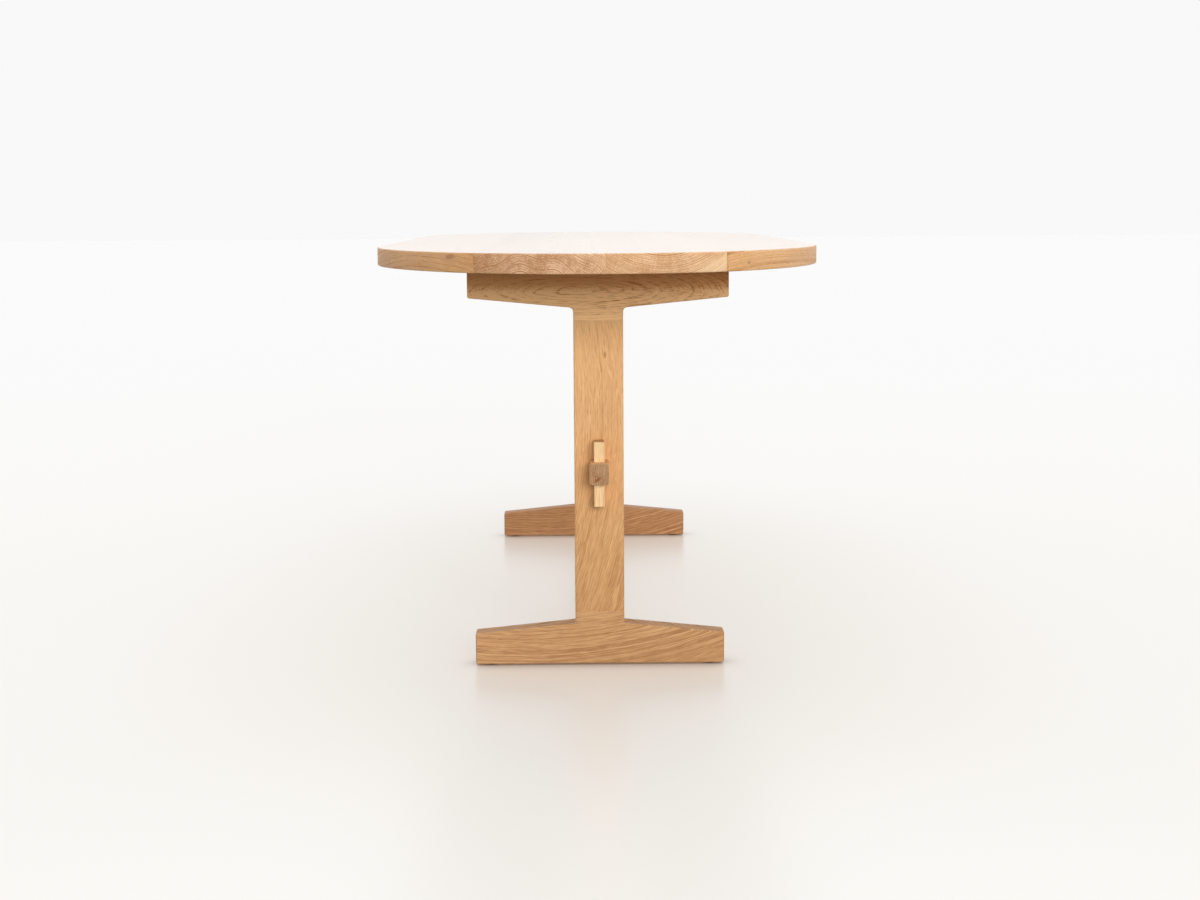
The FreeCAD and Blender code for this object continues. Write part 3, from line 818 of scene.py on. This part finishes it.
# %% [markdown]
# ## A pale floor and soft light
# The table stands in a bright plain room. A camera sees the floor nearly white, because its
# material adds the white that the lamps don't reach, for rays that come straight from the camera,
# from a shiny surface or through glass. Light that bounces off it to the wood meets only its real
# colour, so the underside of the table stays in shade, and the table's own shadow still shows on it.
# A floor that glows would lose the soft shade that lies under furniture, so less is added where the
# sky over it is covered: a little less under the top, and next to nothing under the feet.
# The room gives more light from behind the table and from its sides than from the front, which has
# a lamp of its own.

# %% Rays that look at the background
def looking_rays(tree):
    """1 for a ray that shows the background, 0 for one that lights the object."""
    rays = add_node(tree, "ShaderNodeLightPath").outputs
    seen = calculate(tree, "MAXIMUM", rays["Is Camera Ray"], rays["Is Glossy Ray"])
    return calculate(tree, "MAXIMUM", seen, rays["Is Transmission Ray"])


# %% How strong the room's own light is, and how much more comes from behind the table
room_light, room_shown, room_mirrored = 0.34, 0.945, 0.98
back_light, side_light, side_focus = 0.8, 0.9, 4
on_level_face = back_light * 2 / 3 / math.pi + side_light / 8     # the shares that the floor meets
print("the room lights a level face by", round(room_light + on_level_face, 3))

# %% Two broad lamps: where each stands, what it faces, its width, height and power
window = ((8.52, 1.575, 2.45), (0.655, 0, 0.4), 4.2, 2.95, 515)
skylight = ((0, 0, 3.5), (0, 0, 0), 3.6, 3.6, 48)


def light_on_floor(tree, place, lamp):
    """How brightly a lamp lights a level floor: by both cosines and the square of the distance."""
    lamp_place, aim, width, height, watts = lamp
    towards = vector_sum(tree, "SUBTRACT", lamp_place, place)
    facing_back = (Vector(lamp_place) - Vector(aim)).normalized()
    ahead = calculate(tree, "MAXIMUM", vector_sum(tree, "DOT_PRODUCT", towards, facing_back), 0)
    softened = (width ** 2 + height ** 2) / 12      # a broad lamp is never quite as near as its middle
    squared = calculate(tree, "ADD", vector_sum(tree, "DOT_PRODUCT", towards, towards), softened)
    fall = calculate(tree, "DIVIDE", ahead, calculate(tree, "MULTIPLY", squared, squared))
    return calculate(tree, "MULTIPLY", fall, watts / math.pi ** 2 * lamp_place[2])


# %% The floor: its size, its colours, and the light that it reflects by itself
floor_half = 40
floor_mesh = bpy.data.meshes.new("floor")
floor_mesh.from_pydata([(-floor_half, -floor_half, 0), (floor_half, -floor_half, 0),
                        (floor_half, floor_half, 0), (-floor_half, floor_half, 0)], [], [(0, 1, 2, 3)])
floor = bpy.data.objects.new("floor", floor_mesh)
bpy.context.scene.collection.objects.link(floor)
floor_paint, tree, surface = new_material("pale floor")
seen_floor, lit_floor = (0.29, 0.33, 0.33, 1), (0.22, 0.205, 0.18, 1)
looking = looking_rays(tree)
plus, minus, times, over, times_plus = arithmetic(tree)
fill(tree, surface, {"Base Color": mix_colours(tree, looking, lit_floor, seen_floor), "Roughness": 0.9,
                     "Specular IOR Level": 0})
place = object_place(tree)
lamp_light = plus(light_on_floor(tree, place, window), light_on_floor(tree, place, skylight))
all_light = plus(lamp_light, room_light + on_level_face)
reflected = vector_sum(tree, "MULTIPLY", seen_floor[:3], all_light)
print("floor:", 2 * floor_half, "m across")

# %% The floor: what it adds for the eye, to reach the tone that it should have
window_side = (2.5, 0, 0)
window_floor, near_floor = (0.965, 0.95, 0.908, 1), (0.938, 0.92, 0.874, 1)
far_floor = (0.93, 0.93, 0.93, 1)
near_from, near_to, far_from, far_to = 0.7, 1.6, 2.5, 8       # metres from the window's side
far = vector_sum(tree, "LENGTH", vector_sum(tree, "SUBTRACT", place, window_side))
wanted = mix_colours(tree, remap(tree, far, near_from, near_to), window_floor, near_floor)
wanted = mix_colours(tree, remap(tree, far, far_from, far_to), wanted, far_floor)
added = vector_sum(tree, "SUBTRACT", wanted, reflected)
print("floor:", len(tree.nodes), "nodes so far")


# %% The floor: less is added where something covers the sky over it
def open_sky(tree, reach):
    """The share of the sky over a point that nothing covers within that reach."""
    return add_node(tree, "ShaderNodeAmbientOcclusion", {"Distance": reach}, samples=8).outputs["AO"]


under_top, top_shade = 0.9, (0.08, 0.12, 0.155)
under_foot, foot_glow = 0.045, (0.16, 0.05, 0)       # only the warm light of the wood is left there
covered = minus(1, open_sky(tree, under_top))
added = vector_sum(tree, "SUBTRACT", added, vector_sum(tree, "MULTIPLY", top_shade, covered))
openness = remap(tree, open_sky(tree, under_foot), 0.05, 0.95, kind="LINEAR")
in_gaps = vector_sum(tree, "MULTIPLY", added, foot_glow)
fill(tree, surface, {"Emission Color": mix_colours(tree, openness, in_gaps, added),
                     "Emission Strength": looking})
print("floor:", len(tree.nodes), "nodes so far")

# %% The floor: a sheen for a low eye, and clear from below and to the light close under a foot
close_by = 0.012           # light that comes from nearer, in the gap under a foot, goes through
sheen = add_node(tree, "ShaderNodeBsdfGlossy", {"Color": (1, 1, 1, 1), "Roughness": 0.28})
skimming = times(add_node(tree, "ShaderNodeFresnel", {"IOR": 1.36}).outputs[0], looking)
waxed = add_node(tree, "ShaderNodeMixShader", {0: skimming, 1: surface.outputs[0], 2: sheen.outputs[0]})
clear = add_node(tree, "ShaderNodeBsdfTransparent")
from_below = add_node(tree, "ShaderNodeNewGeometry").outputs["Backfacing"]
ray_length = add_node(tree, "ShaderNodeLightPath").outputs["Ray Length"]
from_close_by = calculate(tree, "LESS_THAN", ray_length, close_by)
light_from_close_by = times(from_close_by, minus(1, looking))
lets_through = calculate(tree, "MAXIMUM", from_below, light_from_close_by)
shown = add_node(tree, "ShaderNodeMixShader", {0: lets_through, 1: waxed.outputs[0], 2: clear.outputs[0]})
fill(tree, tree.nodes["Material Output"], {"Surface": shown.outputs[0]})
floor_mesh.materials.append(floor_paint)
print("floor:", len(tree.nodes), "nodes")

# %% The room's light from all round
world = bpy.data.worlds.new("pale room")
bpy.context.scene.world = world
world.use_nodes = True
tree = world.node_tree
plus, minus, times, over, times_plus = arithmetic(tree)
direction = add_node(tree, "ShaderNodeTexCoord").outputs["Generated"]
behind = calculate(tree, "MAXIMUM", vector_sum(tree, "DOT_PRODUCT", direction, (-1, 0, 0)), 0)
sideways = calculate(tree, "POWER", split(tree, direction)["Y"], side_focus)
lighting = times_plus(behind, back_light, room_light)
lighting = times_plus(sideways, side_light, lighting)
mirrored = add_node(tree, "ShaderNodeLightPath").outputs["Is Glossy Ray"]
shown = remap(tree, mirrored, 0, 1, room_shown, room_mirrored, "LINEAR")
looking = looking_rays(tree)
strength = plus(times(looking, shown), times(minus(1, looking), lighting))
fill(tree, tree.nodes["Background"], {"Color": (1, 1, 1, 1), "Strength": strength})
print("room:", len(tree.nodes), "nodes")

# %% Hang the lamps: a window in front, a little to the right, and a skylight overhead
def soft_lamp(name, place, aim, width, height, watts):
    """A rectangle of light that neither the camera nor a reflection shows."""
    light = bpy.data.lights.new(name, "AREA")
    light.shape = "RECTANGLE"
    light.size, light.size_y = width, height
    light.energy = watts
    lamp = bpy.data.objects.new(name, light)
    lamp.location = place
    lamp.rotation_euler = (Vector(aim) - Vector(place)).to_track_quat("-Z", "Y").to_euler()
    lamp.visible_camera = False
    lamp.visible_glossy = False
    bpy.context.scene.collection.objects.link(lamp)
    print(name, "of", watts, "W")


soft_lamp("window", *window)
soft_lamp("skylight", *skylight)

# %% Camera
camera_data = bpy.data.cameras.new("camera")
camera_data.sensor_width = 36
camera_data.lens = 54
camera = bpy.data.objects.new("camera", camera_data)
camera_place = Vector((3.823, -0.0341, 0.8264))
looking_down = math.radians(7.812)
turned_right = math.radians(0.65)
rolled = math.radians(-0.339)
camera.matrix_world = (Matrix.Translation(camera_place)
                       @ Matrix.Rotation(math.pi / 2 - turned_right, 4, "Z")
                       @ Matrix.Rotation(math.pi / 2 - looking_down, 4, "X")
                       @ Matrix.Rotation(rolled, 4, "Z"))
bpy.context.scene.collection.objects.link(camera)
bpy.context.scene.camera = camera
bpy.context.scene.view_settings.view_transform = "Standard"
print("camera:", camera_data.lens, "mm lens,", camera_place.z, "m up")
